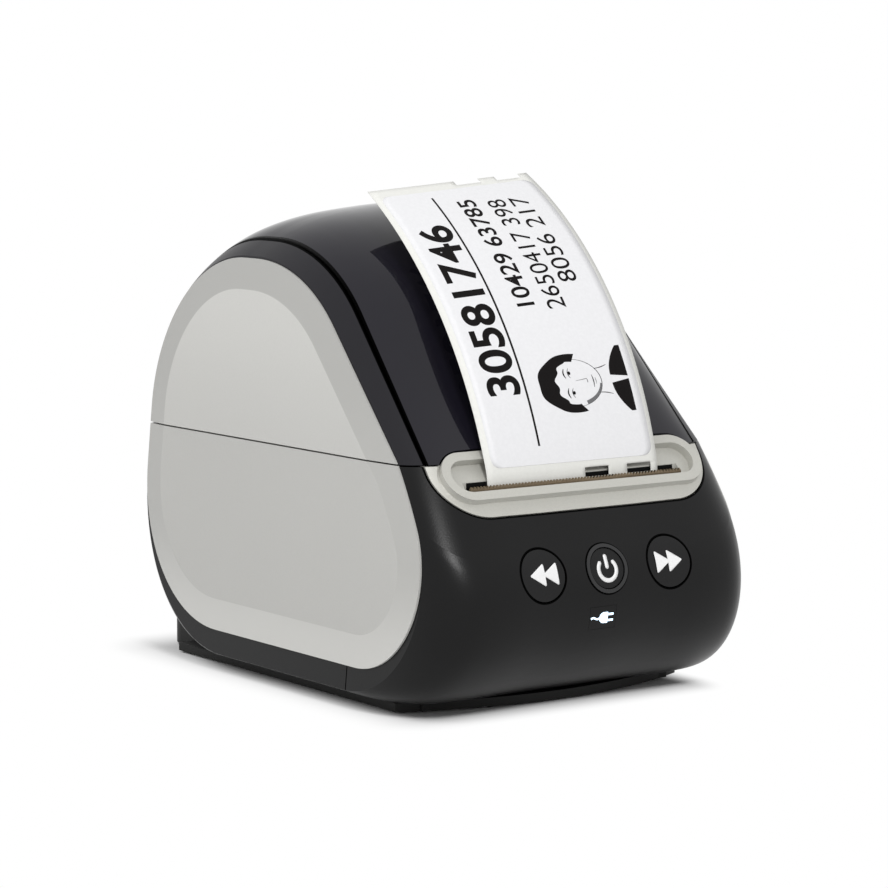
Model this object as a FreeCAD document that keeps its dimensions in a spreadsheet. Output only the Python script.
"""Desktop thermal label printer: hinged lid over a label roll, gear driven platen, three front buttons.

Millimetres.  +Z is up, the front faces -Y, X runs to the right seen from the front, and the origin
lies on the table under the middle of the printer.
"""
import FreeCAD, Part
import Sketcher
import math
import os
import re
from FreeCAD import Placement, Rotation, Vector

# Driving dimensions, one row each: alias, value, what it is.
DIMENSIONS = [
    ("body_width", 126.0, "width over the grey side panels at lean_z"),
    ("lean_deg", 5.2, "inward lean of the side faces"),
    ("lean_z", 38.0, "height at which the width is measured"),
    ("panel_proud", 1.7, "how far a side panel stands out of the shell"),
    ("panel_edge", 0.7, "straight edge of a side panel before its sloping border"),
    ("panel_border", 10.5, "width of the sloping border of a side panel"),
    ("panel_margin", 0.7, "black rim of shell left round a side panel"),
    ("panel_floor_z", 13.9, "lower edge of the side panel"),
    ("panel_nose_r", 30.2, "front round of the lower side panel"),
    ("panel_nose_y", -77.8, "foremost point of the side panel"),
    ("panel_heel_r", 49.7, "rear round of the lower side panel"),
    ("wall", 2.5, "moulded wall of shell and lid"),
    ("parting_z", 77.0, "height of the joint between lid and body"),
    ("parting_gap", 0.5, "open joint between lid and body"),
    ("seam_y", -42.1, "joint between front cover and base housing"),
    ("seam_gap", 0.4, "open joint between front cover and base housing"),
    ("corner_reach", 16.7, "distance from the side face where the corners begin to round"),
    ("corner_r", 17.9, "plan radius of the side corners"),
    ("nose_y", -91.1, "foremost point of the front cover"),
    ("nose_r", 31.0, "side view radius of the nose"),
    ("chin_z", 3.3, "underside of the shell in the middle"),
    ("nose_end_deg", 150.0, "angle where the nose round ends and the upper front begins"),
    ("front_top_y", -70.1, "front of the joint line in the middle"),
    ("rear_y", 88.4, "rear wall in the middle"),
    ("heel_r", 46.0, "side view radius of the rear lower edge"),
    ("side_nose_y", -78.3, "foremost point of the shell at its side face"),
    ("side_nose_r", 36.1, "nose radius at the side face"),
    ("side_floor_z", 6.2, "underside of the shell at its side face"),
    ("side_front_top_y", -63.0, "front of the joint line at the side face"),
    ("side_rear_y", 83.9, "rear of the shell at its side face"),
    ("side_heel_r", 54.2, "rear lower radius at the side face"),
    ("crown_z", 151.5, "top of the lid in the middle"),
    ("crown_y", 17.9, "where the lid is highest"),
    ("lid_front_r", 71.2, "side view radius of the lid ahead of its top"),
    ("lid_rear_r", 70.0, "side view radius of the lid behind its top"),
    ("side_crown_z", 135.5, "top of the lid at its side face"),
    ("side_crown_y", 24.6, "highest place of the lid at its side face"),
    ("side_lid_front_r", 67.3, "front radius of the lid at its side face"),
    ("side_lid_rear_r", 52.9, "rear radius of the lid at its side face"),
    ("crown_bow_r", 190.0, "crosswise radius of the lid top"),
    ("shoulder_start", 44.0, "distance from the middle where the lid shoulder begins"),
    ("window_half", 54.9, "half width of the glossy lid window"),
    ("window_wall", 1.6, "thickness of the lid window"),
    ("window_rear_y", 59.9, "rear end of the lid window"),
    ("window_seam", 0.7, "groove round the lid window"),
    ("window_ledge", 4.0, "width of the ledge that carries the lid window"),
    ("window_front_ledge", 15.0, "depth of the ledge behind the front edge of the lid"),
    ("hinge_y", 88.6, "lid hinge axis"),
    ("hinge_r", 2.8, "outer radius of the hinge knuckles"),
    ("hinge_pin_r", 1.2, "hinge pin"),
    ("hinge_x", 33.5, "middle of each hinge"),
    ("knuckle", 4.0, "length of a hinge knuckle"),
    ("knuckle_gap", 0.3, "side play between hinge knuckles"),
    ("hinge_reach", 4.2, "how far the hinge lugs run into the wall"),
    ("hinge_fit", 0.06, "running clearance of the hinge pin"),
    ("bezel_tilt_deg", 48.0, "slope of the exit bezel"),
    ("bezel_z", 71.0, "height of the bezel centre on the front face"),
    ("bezel_half", 52.4, "half width of the exit bezel"),
    ("bezel_drop", 11.0, "bezel below its centre, along the slope"),
    ("bezel_corner", 17.0, "lower corner radius of the bezel"),
    ("bezel_wall", 3.0, "thickness of the bezel"),
    ("bezel_gap", 0.4, "black gap round the bezel"),
    ("ring_half", 40.5, "half length of the straight part of the raised oval ring"),
    ("ring_r", 8.8, "outer end radius of the raised ring"),
    ("ring_band", 3.0, "width of the raised ring"),
    ("ring_rise", 1.3, "height of the ring above the bezel"),
    ("ring_shift", 2.3, "ring centre above the bezel centre, along the slope"),
    ("ring_gap", 0.6, "gap between ring and lid"),
    ("groove_wide", 0.9, "groove round the ring"),
    ("groove_deep", 0.7, "depth of that groove"),
    ("tray_deep", 1.5, "recess inside the ring"),
    ("slot_half", 41.5, "half length of the label exit slot"),
    ("slot_front", 2.2, "slot ahead of the label"),
    ("slot_back", 1.2, "slot behind the label"),
    ("exit_rise", 0.6, "where the label leaves the bezel, above its centre along the slope"),
    ("exit_sink", 1.0, "depth of that place below the bezel face"),
    ("bar_half", 40.8, "half length of the tear bar"),
    ("bar_thick", 0.8, "thickness of the tear bar"),
    ("bar_low", 4.4, "lower edge of the tear bar below the label exit"),
    ("bar_high", 0.5, "tip of the tear bar teeth below the label exit"),
    ("tooth_pitch", 1.2, "pitch of the tear bar teeth"),
    ("tooth_deep", 0.8, "depth of the tear bar teeth"),
    ("button_z", 44.2, "height of the button row"),
    ("button_pitch", 24.3, "spacing of the buttons"),
    ("button_r", 8.0, "feed button radius"),
    ("button_long", 6.0, "length of a button from its face inwards"),
    ("button_flange", 1.0, "width of the flange that keeps a button in its hole"),
    ("flange_thick", 1.0, "thickness of that flange"),
    ("button_gap", 0.35, "play round a button"),
    ("button_travel", 0.8, "press travel of a button"),
    ("power_r", 6.2, "power button radius"),
    ("power_ring_r", 7.7, "outer radius of the ring round the power button"),
    ("power_ring_rise", 0.3, "height of that ring above the front face"),
    ("power_ring_long", 3.4, "depth of that ring"),
    ("board_thick", 1.6, "thickness of the circuit boards"),
    ("button_board_half", 36.0, "half width of the button board"),
    ("button_board_up", 4.0, "button board above the button axis"),
    ("button_board_down", 10.0, "button board below the button axis"),
    ("switch_size", 6.0, "side of a push switch"),
    ("switch_gap", 0.3, "free space left under a fully pressed button"),
    ("switch_high", 2.0, "height of a push switch"),
    ("switch_case", 1.4, "height of its case, below the plunger"),
    ("boss_r", 2.2, "radius of the button board bosses"),
    ("lens_x", -2.5, "sideways place of the status light"),
    ("lens_z", 29.3, "height of the status light"),
    ("lens_half", 5.0, "half width of the status light lens"),
    ("lens_tall", 7.0, "height of the status light lens"),
    ("lens_deep", 4.0, "depth of the status light lens"),
    ("lens_gap", 0.08, "gap round the status light lens"),
    ("plate_bottom", 0.6, "underside of the base plate"),
    ("plate_front_y", -68.1, "front of the base plate"),
    ("plate_front_r", 130.0, "plan radius of the base plate front"),
    ("plate_half", 55.0, "half width of the base plate"),
    ("plate_rear_y", 71.9, "rear of the base plate"),
    ("plug_half", 48.0, "half width of the raised middle of the base plate"),
    ("plug_front_y", -60.1, "front of the raised middle"),
    ("plug_rear_y", 39.9, "rear of the raised middle"),
    ("plug_top", 6.0, "inner floor on the raised middle"),
    ("plug_gap", 0.3, "gap round the raised middle"),
    ("heel_half", 48.0, "half width of the rear stand of the base plate"),
    ("heel_rear_y", 91.4, "rear of the stand"),
    ("heel_top", 10.5, "top of the stand"),
    ("heel_gap", 0.3, "gap between stand and shell"),
    ("heel_corner", 9.0, "plan radius of the stand's rear corners"),
    ("foot_r", 5.5, "rubber foot radius"),
    ("foot_seat", 1.2, "depth of the foot seat in the plate"),
    ("foot_front_x", 46.0, "front feet, sideways"),
    ("foot_front_y", -47.1, "front feet"),
    ("foot_rear_x", 42.0, "rear feet, sideways"),
    ("foot_rear_y", 80.9, "rear feet"),
    ("trim_fit", 0.05, "clearance of pieces that are pressed or screwed in"),
    ("screw_r", 1.5, "housing screw shank"),
    ("screw_head_r", 2.9, "housing screw head"),
    ("screw_head", 1.4, "height of the screw head"),
    ("screw_x", 51.4, "housing screws, sideways"),
    ("screw_front_y", -22.1, "front housing screws"),
    ("screw_rear_y", 43.9, "rear housing screws"),
    ("screw_top", 13.0, "end of the housing screws"),
    ("post_r", 3.2, "screw post radius"),
    ("post_top", 15.0, "top of the screw posts"),
    ("spool_y", 15.9, "label spool axis"),
    ("spool_z", 70.0, "height of the label spool axis"),
    ("roll_r", 48.0, "radius of a full label roll"),
    ("roll_half", 33.0, "half width of the label strip"),
    ("core_r", 13.6, "outer radius of the cardboard core"),
    ("core_wall", 1.4, "wall of the cardboard core"),
    ("hub_gap", 0.4, "gap between spindle and core"),
    ("flange_r", 28.0, "radius of the spool flanges"),
    ("flange_wide", 2.6, "thickness of the spool flanges"),
    ("flange_gap", 0.4, "gap between roll and flange"),
    ("collar_r", 16.0, "collar of the sliding spool guide"),
    ("collar_long", 3.6, "length of that collar"),
    ("guide_travel", 3.6, "outward slide of the spool guide"),
    ("guide_fit", 0.1, "sliding clearance of the spool guide"),
    ("journal_r", 5.0, "spool journals"),
    ("journal_fit", 0.08, "running clearance of the spool journals"),
    ("journal_long", 3.0, "spool journal beyond the cradle wall"),
    ("cradle_half", 44.6, "inner half width of the roll cradle"),
    ("cradle_wall", 2.1, "wall of the roll cradle"),
    ("cradle_gap", 6.0, "space between a full roll and the cradle"),
    ("cradle_lip_y", -32.1, "front lip of the cradle"),
    ("cradle_leg_front_y", -26.1, "front edge of the cradle side walls"),
    ("cradle_leg_rear_y", 37.9, "rear edge of the cradle legs"),
    ("deck_z", 73.8, "underside of the deck round the roll"),
    ("deck_thick", 2.0, "thickness of the deck"),
    ("deck_front_y", -63.1, "front edge of the deck"),
    ("deck_rear_y", 81.9, "rear edge of the deck"),
    ("deck_gap", 0.4, "gap between deck and shell"),
    ("well_front_y", -38.1, "front edge of the opening in the deck"),
    ("frame_half", 42.2, "inner half width of the mechanism frame"),
    ("frame_thick", 1.5, "sheet of the mechanism frame"),
    ("frame_rear_y", -38.6, "rear edge of the frame"),
    ("frame_top", 64.0, "top of the frame"),
    ("frame_mid", 40.0, "where the frame's rear edge begins to slope"),
    ("frame_front_y", -79.1, "front edge of the frame"),
    ("frame_foot_y", -54.6, "front of the frame's foot"),
    ("frame_rear_top_y", -45.6, "rear end of the frame's top edge"),
    ("frame_front_top_y", -72.1, "front end of the frame's top edge"),
    ("frame_brow_z", 50.0, "upper end of the frame's front edge"),
    ("frame_low_z", 30.0, "lower end of the frame's front edge"),
    ("frame_toe_y", -68.6, "lower front corner of the frame"),
    ("frame_toe_z", 12.0, "height of that corner"),
    ("platen_y", -67.4, "platen axis"),
    ("platen_z", 57.5, "height of the platen axis"),
    ("platen_r", 6.0, "rubber platen radius"),
    ("platen_half", 36.0, "half length of the rubber platen"),
    ("shaft_r", 2.0, "platen shaft"),
    ("bush_r", 3.4, "platen bush"),
    ("bush_flange", 1.2, "thickness of the platen bush flange"),
    ("bush_rim", 1.0, "width of the platen bush flange"),
    ("shaft_fit", 0.05, "running clearance of the platen shaft"),
    ("web_gap", 0.2, "clearance between label strip and rollers"),
    ("web_thick", 0.25, "label strip with its liner"),
    ("chute_gap", 1.0, "gap under the label strip in the chute"),
    ("chute_thick", 1.6, "sheet of the label chute"),
    ("chute_front_y", -59.6, "front end of the label chute"),
    ("sensor_half", 5.0, "half width of the label sensor"),
    ("sensor_high", 3.0, "height of the label sensor"),
    ("gear_module", 0.7, "module of the drive gears"),
    ("platen_teeth", 24, "teeth of the platen gear"),
    ("idler_teeth", 44, "teeth of the idler gear"),
    ("pinion_teeth", 14, "teeth of the motor pinion"),
    ("backlash", 0.22, "tooth play of the drive gears"),
    ("gear_inner_x", 46.6, "inner face of the gears"),
    ("gear_wide", 4.0, "face width of the gears"),
    ("pin_r", 1.5, "idler, lever and head pivot pins"),
    ("pin_fit", 0.08, "running clearance on those pins"),
    ("motor_y", -56.6, "motor axis"),
    ("motor_z", 23.9, "height of the motor axis"),
    ("motor_r", 16.0, "motor can radius"),
    ("motor_long", 24.0, "motor can length"),
    ("motor_boss_r", 4.0, "motor pilot boss"),
    ("motor_shaft_r", 1.5, "motor shaft"),
    ("motor_shaft_sink", 5.0, "motor shaft inside the can"),
    ("head_half", 36.0, "half width of the print head"),
    ("head_thick", 2.4, "print head plate"),
    ("head_strip", 0.8, "ceramic heating strip"),
    ("head_strip_tall", 7.0, "height of the heating strip"),
    ("head_gap", 0.2, "gap between heating strip and label strip"),
    ("head_top", 58.5, "top of the print head"),
    ("head_pivot_z", 40.0, "print head pivot"),
    ("head_hub_r", 3.0, "print head pivot hub"),
    ("lever_x", -46.2, "inner face of the release lever"),
    ("lever_thick", 3.0, "thickness of the release lever"),
    ("lever_y", -52.6, "release lever pivot"),
    ("lever_z", 60.0, "height of the release lever pivot"),
    ("lever_hub_r", 4.0, "release lever hub"),
    ("lever_arm", 5.0, "width of the release lever arm"),
    ("lever_top", 82.0, "top of the release lever"),
    ("lever_slot_front", 4.0, "deck slot ahead of the lever"),
    ("lever_slot_back", 14.0, "deck slot behind the lever"),
    ("main_board_half", 41.0, "half width of the main board"),
    ("main_board_y", 73.1, "front face of the main board"),
    ("main_board_low", 30.0, "lower edge of the main board"),
    ("main_board_high", 66.0, "upper edge of the main board"),
    ("stud_x", 36.0, "main board studs, sideways"),
    ("stud_low_z", 40.0, "lower main board studs"),
    ("stud_high_z", 61.0, "upper main board studs"),
    ("stud_r", 2.8, "main board stud radius"),
    ("board_screw_r", 1.1, "board screw shank"),
    ("board_screw_head_r", 2.3, "board screw head"),
    ("board_screw_head", 1.2, "height of the board screw head"),
    ("board_screw_long", 7.0, "board screw shank behind the board"),
    ("chip_x", -6.0, "main chip, sideways"),
    ("chip_z", 40.0, "height of the main chip"),
    ("chip_half", 7.0, "half side of the main chip"),
    ("chip_thick", 1.6, "thickness of the main chip"),
    ("can_x", 22.0, "capacitor, sideways"),
    ("can_r", 4.0, "capacitor radius"),
    ("can_high", 6.5, "height of the capacitor"),
    ("socket_z", 50.0, "height of the rear sockets"),
    ("socket_fit", 0.2, "gap round the rear sockets"),
    ("power_socket_x", -16.0, "power socket"),
    ("power_socket_r", 5.0, "power socket barrel"),
    ("power_bore_r", 3.2, "power socket bore"),
    ("power_pin_r", 1.0, "power socket pin"),
    ("data_socket_x", 14.0, "data socket"),
    ("data_wide", 12.0, "data socket shell width"),
    ("data_tall", 10.8, "data socket shell height"),
    ("data_wall", 1.2, "data socket shell wall"),
    ("tongue_half", 2.8, "half size of the data socket tongue"),
    ("socket_deep", 9.0, "depth of the socket bores"),
    ("contact_sink", 1.0, "how far the pin and tongue of the sockets are set back"),
    ("lock_x", 34.0, "security slot"),
    ("lock_wide", 7.0, "security slot width"),
    ("lock_tall", 3.0, "security slot height"),
    ("strip_bend", 4.0, "length of the first bend of the label above the bar"),
    ("strip_left_deg", 60.8, "slope of the left label edge after the bend"),
    ("strip_left_end_deg", 43.8, "slope of the left label edge at its end"),
    ("strip_left_free", 104.0, "length of the left label edge above the bend"),
    ("strip_right_deg", 75.9, "slope of the right label edge after the bend"),
    ("strip_right_end_deg", 27.6, "slope of the right label edge at its end"),
    ("strip_right_free", 113.0, "length of the right label edge above the bend"),
]

X_AXIS = Vector(1, 0, 0)
Y_AXIS = Vector(0, 1, 0)
FULL_TURN = 360.0

doc = FreeCAD.newDocument("label_printer")
dims = doc.addObject("Spreadsheet::Sheet", "dims")
for row, (alias, value, meaning) in enumerate(DIMENSIONS, start=1):
    dims.set(f"A{row}", alias)
    dims.set(f"B{row}", str(value))
    dims.set(f"C{row}", meaning)
    dims.setAlias(f"B{row}", alias)
doc.recompute()

ALIASES = {alias for alias, _, _ in DIMENSIONS}
nodes = {}


class Sizes:
    """Reads the sheet's cells as plain numbers."""

    def __getattr__(self, alias):
        return float(dims.get(alias))


d = Sizes()


# Document helpers: every size is an expression on the sheet.

def formula(text):
    """Turn plain alias names into references to the sheet."""
    def reference(word):
        return "dims." + word[0] if word[0] in ALIASES else word[0]
    return re.sub(r"[a-z][a-z_0-9]*", reference, str(text))


def value_of(text):
    """Number that an expression on the sheet gives now."""
    return float(dims.evalExpression(formula(text)))


def bind(obj, **properties):
    """Bind properties of an object to expressions; base_x stands for Placement.Base.x."""
    for name, text in properties.items():
        path = name.replace("base_", "Placement.Base.") if name.startswith("base_") else name
        obj.setExpression(path, formula(text))
    return obj


def box(name, x, y, z):
    """Block between pairs of expressions along X, Y and Z."""
    block = doc.addObject("Part::Box", name)
    long, wide, high = (f"({span[1]}) - ({span[0]})" for span in (x, y, z))
    return bind(block, Length=long, Width=wide, Height=high, base_x=x[0], base_y=y[0], base_z=z[0])


def rod(name, axis, radius, span, x="0", y="0", z="0"):
    """Round bar along X, Y or Z between the two expressions of span."""
    bar = doc.addObject("Part::Cylinder", name)
    turns = {"x": Rotation(Y_AXIS, 90), "y": Rotation(X_AXIS, -90), "z": Rotation()}
    bar.Placement = Placement(Vector(), turns[axis])
    place = {"x": x, "y": y, "z": z}
    place[axis] = span[0]
    return bind(bar, Radius=radius, Height=f"({span[1]}) - ({span[0]})",
                base_x=place["x"], base_y=place["y"], base_z=place["z"])


def join(name, *pieces):
    """One solid from touching or overlapping pieces."""
    fused = doc.addObject("Part::MultiFuse", name)
    fused.Shapes = list(pieces)
    return fused


def group(name, *pieces):
    """Several separate solids in one node."""
    held = doc.addObject("Part::Compound", name)
    held.Links = list(pieces)
    return held


def carve(name, base, *tools):
    """A piece less its cut-outs."""
    cut = doc.addObject("Part::Cut", name)
    cut.Base = base
    cut.Tool = tools[0] if len(tools) == 1 else join(name + "_tools", *tools)
    return cut


def overlap(name, *pieces):
    """What several pieces share."""
    shared = doc.addObject("Part::MultiCommon", name)
    shared.Shapes = list(pieces)
    return shared


def feature(name, shape):
    """A free-form piece whose shape is worked out from the sheet."""
    held = doc.addObject("Part::Feature", name)
    held.Shape = shape
    return held


def node(label, obj):
    """Name the object that becomes one file."""
    obj.Label = label
    nodes[label] = obj
    return obj


def origin_plane(body, role):
    return next(item for item in body.Origin.OriginFeatures if item.Role == role)


def outline_sketch(body, role, points, offset="0"):
    """Closed outline of straight lines whose corners are pairs of expressions."""
    sketch = body.newObject("Sketcher::SketchObject", body.Name + "_outline")
    sketch.AttachmentSupport = (origin_plane(body, role), [""])
    sketch.MapMode = "FlatFace"
    sketch.setExpression("AttachmentOffset.Base.z", formula(offset))
    places = [Vector(*(value_of(text) for text in point), 0) for point in points]
    count = len(points)
    for at in range(count):
        sketch.addGeometry(Part.LineSegment(places[at], places[(at + 1) % count]))
    for at in range(count):
        sketch.addConstraint(Sketcher.Constraint("Coincident", at, 2, (at + 1) % count, 1))
    for at, point in enumerate(points):
        for kind, text, start in zip(("DistanceX", "DistanceY"), point, places[at]):
            index = sketch.addConstraint(Sketcher.Constraint(kind, -1, 1, at, 1, start))
            sketch.setExpression(f"Constraints[{index}]", formula(text))
    return sketch


def turned(name, points, y="0", z="0"):
    """Piece turned about an axis along X from corners (x, radius)."""
    body = doc.addObject("PartDesign::Body", name)
    sketch = outline_sketch(body, "XY_Plane", points)
    lathe = body.newObject("PartDesign::Revolution", name + "_turn")
    lathe.Profile = sketch
    lathe.ReferenceAxis = (sketch, ["H_Axis"])
    lathe.Angle = FULL_TURN
    return bind(body, base_y=y, base_z=z)


def padded(name, points, span):
    """Sheet or block with an outline of (y, z) corners, between two places along X."""
    body = doc.addObject("PartDesign::Body", name)
    sketch = outline_sketch(body, "YZ_Plane", points, offset=span[0])
    pad = body.newObject("PartDesign::Pad", name + "_pad")
    pad.Profile = sketch
    pad.setExpression("Length", formula(f"({span[1]}) - ({span[0]})"))
    return body


# Curves in the side view, at a given place across the printer.

def at(x, y, z):
    return Vector(x, y, z)


def polar(centre, radius, degrees):
    angle = math.radians(degrees)
    return centre[0] + radius * math.cos(angle), centre[1] + radius * math.sin(angle)


def line(x, start, end):
    return Part.LineSegment(at(x, *start), at(x, *end)).toShape()


def arc(x, centre, radius, start, end):
    """Arc about a (y, z) centre between two angles in degrees."""
    spots = [at(x, *polar(centre, radius, angle)) for angle in (start, (start + end) / 2, end)]
    return Part.Arc(*spots).toShape()


def bearing(start, end):
    return math.degrees(math.atan2(end[1] - start[1], end[0] - start[0]))


def loft(wires, ruled=False):
    return Part.makeLoft(wires, True, ruled)


side_x = d.body_width / 2 - d.panel_proud
body_top = d.parting_z - d.parting_gap / 2
lid_bottom = d.parting_z + d.parting_gap / 2
corner_start = side_x - d.corner_reach


def corner_share(x):
    """0 in the middle of the printer, 1 at its side face, along the plan round of the corner."""
    def inset(place):
        run = max(0.0, abs(place) - corner_start)
        return d.corner_r - math.sqrt(d.corner_r ** 2 - run ** 2)
    return inset(x) / inset(side_x)


def crown_share(x):
    """0 at the middle of the lid, 1 at its side face: a shallow bow that steepens at the shoulder."""
    fall = d.crown_z - d.side_crown_z
    bow = x ** 2 / (2 * d.crown_bow_r)
    edge_bow = side_x ** 2 / (2 * d.crown_bow_r)
    shoulder = max(0.0, abs(x) - d.shoulder_start) / (side_x - d.shoulder_start)
    return (bow + (fall - edge_bow) * shoulder ** 2) / fall


CORNER_STATIONS = (0.92, 0.75, 0.45)  # shares of a corner at which it has a section


def stations(inset):
    """Places across the printer where the shell's sections are drawn."""
    edge = side_x - inset
    knee = edge - corner_start
    rounds = [corner_start + share * knee for share in CORNER_STATIONS]
    marks = [edge, *rounds, corner_start, corner_start / 2]
    return [-mark for mark in marks] + [0.0] + marks[::-1]


def mix(share, middle, side):
    return middle + (side - middle) * share


def front_arc(nose, radius, top):
    """Centre and radius of the upper front: an arc that leaves the nose smoothly and meets top."""
    start = polar(nose, radius, d.nose_end_deg)
    inward = polar((0, 0), 1, d.nose_end_deg + 180)
    chord = top[0] - start[0], top[1] - start[1]
    bend = (chord[0] ** 2 + chord[1] ** 2) / (2 * (chord[0] * inward[0] + chord[1] * inward[1]))
    return (start[0] + bend * inward[0], start[1] + bend * inward[1]), bend


def lower_section(x, inset=0.0, top=None):
    """Closed side view outline of the body below the lid, drawn in by inset."""
    top = body_top if top is None else top
    share = corner_share(x)
    nose_r = mix(share, d.nose_r, d.side_nose_r)
    nose = (mix(share, d.nose_y + d.nose_r, d.side_nose_y + d.side_nose_r),
            mix(share, d.chin_z + d.nose_r, d.side_floor_z + d.side_nose_r))
    heel_r = mix(share, d.heel_r, d.side_heel_r)
    heel = (mix(share, d.rear_y - d.heel_r, d.side_rear_y - d.side_heel_r),
            mix(share, d.chin_z + d.heel_r, d.side_floor_z + d.side_heel_r))
    brow = mix(share, d.front_top_y, d.side_front_top_y), d.parting_z
    centre, bend = front_arc(nose, nose_r, brow)
    rise = top - centre[1]
    front_top = centre[0] - math.sqrt((bend - inset) ** 2 - rise ** 2), top
    rear = heel[0] + heel_r - inset
    return Part.Wire([
        arc(x, centre, bend - inset, bearing(centre, front_top) % FULL_TURN, d.nose_end_deg),
        arc(x, nose, nose_r - inset, d.nose_end_deg, 270),
        line(x, polar(nose, nose_r - inset, 270), polar(heel, heel_r - inset, 270)),
        arc(x, heel, heel_r - inset, 270, FULL_TURN),
        line(x, (rear, heel[1]), (rear, top)),
        line(x, (rear, top), front_top),
    ])


def lid_curves(x):
    """Centres, radii and slope of the lid's side view at x."""
    corner, crown = corner_share(x), crown_share(x)
    top = mix(crown, d.crown_z, d.side_crown_z)
    front_r = mix(crown, d.lid_front_r, d.side_lid_front_r)
    rear_r = mix(crown, d.lid_rear_r, d.side_lid_rear_r)
    front = mix(crown, d.crown_y, d.side_crown_y), top - front_r
    rear_y = mix(corner, d.rear_y, d.side_rear_y)
    rear = rear_y - rear_r, top - rear_r
    brow = mix(corner, d.front_top_y, d.side_front_top_y), d.parting_z
    reach = math.dist(front, brow)
    touch = (bearing(front, brow) - math.degrees(math.acos(front_r / reach))) % FULL_TURN
    return front, front_r, touch, rear, rear_r


def slope_foot(touch_point, touch, level):
    """Where the lid's straight front slope, tangent at touch_point, reaches a level."""
    run = polar((0, 0), 1, touch + 90)
    return touch_point[0] + run[0] * (level - touch_point[1]) / run[1], level


def lid_section(x, inset=0.0, bottom=None):
    """Closed side view outline of the lid, drawn in by inset."""
    bottom = lid_bottom if bottom is None else bottom
    front, front_r, touch, rear, rear_r = lid_curves(x)
    touch_point = polar(front, front_r - inset, touch)
    foot = slope_foot(touch_point, touch, bottom)
    crown = polar(front, front_r - inset, 90)
    crown_rear = polar(rear, rear_r - inset, 90)
    back = polar(rear, rear_r - inset, 0)
    return Part.Wire([
        line(x, foot, touch_point),
        arc(x, front, front_r - inset, touch, 90),
        line(x, crown, crown_rear),
        arc(x, rear, rear_r - inset, 90, 0),
        line(x, back, (back[0], bottom)),
        line(x, (back[0], bottom), foot),
    ])


def leaned(shape, x):
    """A section or panel at x, turned inwards by its share of the lean of the side faces."""
    return shape.rotate(Vector(x, 0, d.lean_z), Y_AXIS, -d.lean_deg * x / side_x)


def lower_form(inset=0.0, top=None):
    return loft([leaned(lower_section(x, inset, top), x) for x in stations(inset)])


def lid_form(inset=0.0, bottom=None):
    return loft([leaned(lid_section(x, inset, bottom), x) for x in stations(inset)])


def slab(x, y, z):
    """Plain block between pairs of numbers, used to trim free forms."""
    return Part.makeBox(x[1] - x[0], y[1] - y[0], z[1] - z[0], Vector(x[0], y[0], z[0]))


REACH = 200.0  # larger than the printer, for trimming blocks
THROUGH = 20.0  # more than any wall, for cuts through the front
EVERYWHERE = (-REACH, REACH)

lower_outer = lower_form()
lower_inner = lower_form(d.wall, d.parting_z + d.wall)
lid_outer = lid_form()
lid_inner = lid_form(d.wall, lid_bottom - d.wall)


# The exit bezel's own frame: local x across, local y up the slope, local z out of the front face.

def front_face_y(z):
    """Front of the body in the middle at a height on its upper front."""
    nose = d.nose_y + d.nose_r, d.chin_z + d.nose_r
    centre, bend = front_arc(nose, d.nose_r, (d.front_top_y, d.parting_z))
    return centre[0] - math.sqrt(bend ** 2 - (z - centre[1]) ** 2)


def nose_face(z):
    """Y of the nose round at a height, and the tilt that turns local z out of it."""
    rise = z - d.chin_z - d.nose_r
    tilt = math.degrees(math.asin(rise / d.nose_r))
    return d.nose_y + d.nose_r - math.sqrt(d.nose_r ** 2 - rise ** 2), 90 - tilt


def front_frame(x, y, z, tilt):
    return Placement(Vector(x, y, z), Rotation(X_AXIS, tilt))


bezel_frame = front_frame(0, front_face_y(d.bezel_z), d.bezel_z, d.bezel_tilt_deg)


def placed(shape, frame):
    shape.Placement = frame
    return shape


def prism(edges, low, high):
    """Closed outline in local x and y, from one local height to another."""
    face = Part.Face(Part.Wire(edges))
    face.translate(Vector(0, 0, low))
    return face.extrude(Vector(0, 0, high - low))


def stadium(half, radius, low, high, shift=0.0):
    """Oval with straight long sides, lying along local x."""
    def spot(x, y):
        return Vector(x, y + shift, 0)
    edges = [
        Part.LineSegment(spot(-half, -radius), spot(half, -radius)).toShape(),
        Part.Arc(spot(half, -radius), spot(half + radius, 0), spot(half, radius)).toShape(),
        Part.LineSegment(spot(half, radius), spot(-half, radius)).toShape(),
        Part.Arc(spot(-half, radius), spot(-half - radius, 0), spot(-half, -radius)).toShape(),
    ]
    return prism(edges, low, high)


def bezel_blank(grow, low, high):
    """Bezel outline: straight sides and two large lower corners, grown by the gap."""
    half, drop, corner = d.bezel_half + grow, d.bezel_drop + grow, d.bezel_corner + grow
    rise = 2 * d.ring_r + d.ring_shift
    diagonal = corner * (1 - math.sqrt(0.5))

    def spot(x, y):
        return Vector(x, y, 0)
    edges = [
        Part.LineSegment(spot(-half, rise), spot(-half, corner - drop)).toShape(),
        Part.Arc(spot(-half, corner - drop), spot(diagonal - half, diagonal - drop),
                 spot(corner - half, -drop)).toShape(),
        Part.LineSegment(spot(corner - half, -drop), spot(half - corner, -drop)).toShape(),
        Part.Arc(spot(half - corner, -drop), spot(half - diagonal, diagonal - drop),
                 spot(half, corner - drop)).toShape(),
        Part.LineSegment(spot(half, corner - drop), spot(half, rise)).toShape(),
        Part.LineSegment(spot(half, rise), spot(-half, rise)).toShape(),
    ]
    return placed(prism(edges, low, high), bezel_frame)


def ring_prism(radius, low, high):
    return placed(stadium(d.ring_half, radius, low, high, d.ring_shift), bezel_frame)


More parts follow.
